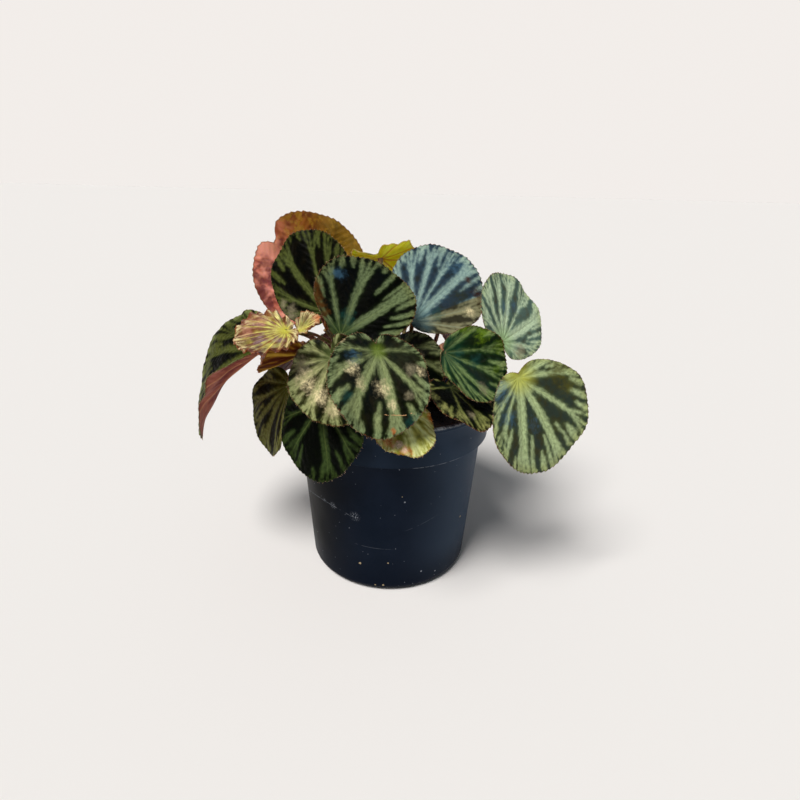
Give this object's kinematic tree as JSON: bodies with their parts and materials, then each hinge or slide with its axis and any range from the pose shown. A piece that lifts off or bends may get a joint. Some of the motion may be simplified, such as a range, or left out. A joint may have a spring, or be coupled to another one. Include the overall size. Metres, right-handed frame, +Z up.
{
  "type": "potted begonia",
  "caption": "Young rhizome begonia with round leaves banded in dark and pale green, standing in soil in a round dark plastic nursery pot.",
  "frame": {"origin": "centre of the flat pad under the pot's base, on the surface that the pot stands on", "axes": "+Z up along the pot's axis; +Y away from the open front of the plant; +X to the right of it"},
  "size_m": [0.2234, 0.1765, 0.208],
  "materials": {
    "pot_plastic": "dark navy charcoal, satin",
    "potting_mix": "loose dark brown peat mix, matt",
    "rhizome_skin": "brown, scaly, matt",
    "stalk_skin": "reddish, finely hairy",
    "leaf_banded": "blackish green between pale green bands on the veins, satin",
    "leaf_young": "yellow and red-brown, crimped, satin",
    "leaf_pale": "yellow green, lit through",
    "leaf_red": "banded green above, red beneath",
    "leaf_old": "orange brown, dry"
  },
  "bodies": {
    "root": {"pot": "pot_plastic", "soil": "potting_mix", "rhizome": "rhizome_skin", "leaf_folded": "leaf_banded", "stalk_folded": "stalk_skin", "leaf_low_left": "leaf_banded", "stalk_low_left": "stalk_skin", "leaf_old_curled": "leaf_old", "stalk_old_curled": "stalk_skin", "leaf_new_leaf": "leaf_young", "stalk_new_leaf": "stalk_skin", "leaf_young": "leaf_young", "stalk_young": "stalk_skin", "leaf_low_front": "leaf_banded", "stalk_low_front": "stalk_skin", "leaf_middle_left": "leaf_banded", "stalk_middle_left": "stalk_skin", "leaf_crown": "leaf_banded", "stalk_crown": "stalk_skin", "leaf_front": "leaf_banded", "stalk_front": "stalk_skin", "leaf_burnt": "leaf_banded", "stalk_burnt": "stalk_skin", "leaf_middle_dark": "leaf_banded", "stalk_middle_dark": "stalk_skin", "leaf_low_right": "leaf_banded", "stalk_low_right": "stalk_skin", "leaf_middle_right": "leaf_banded", "stalk_middle_right": "stalk_skin", "leaf_hanging_right": "leaf_banded", "stalk_hanging_right": "stalk_skin", "leaf_side_left": "leaf_banded", "stalk_side_left": "stalk_skin", "leaf_back_left": "leaf_banded", "stalk_back_left": "stalk_skin", "leaf_tall_back": "leaf_red", "stalk_tall_back": "stalk_skin", "leaf_high_left": "leaf_banded", "stalk_high_left": "stalk_skin", "leaf_dry_bud": "leaf_old", "stalk_dry_bud": "stalk_skin", "leaf_low_back": "leaf_banded", "stalk_low_back": "stalk_skin", "leaf_pale_back": "leaf_pale", "stalk_pale_back": "stalk_skin", "leaf_high_back": "leaf_banded", "stalk_high_back": "stalk_skin", "leaf_high_right": "leaf_banded", "stalk_high_right": "stalk_skin", "leaf_back_right": "leaf_banded", "stalk_back_right": "stalk_skin", "leaf_inner_right": "leaf_banded", "stalk_inner_right": "stalk_skin", "leaf_old_small": "leaf_old", "stalk_old_small": "stalk_skin", "leaf_right_back": "leaf_banded", "stalk_right_back": "stalk_skin", "leaf_side_right": "leaf_banded", "stalk_side_right": "stalk_skin"}
  },
  "joints": []
}
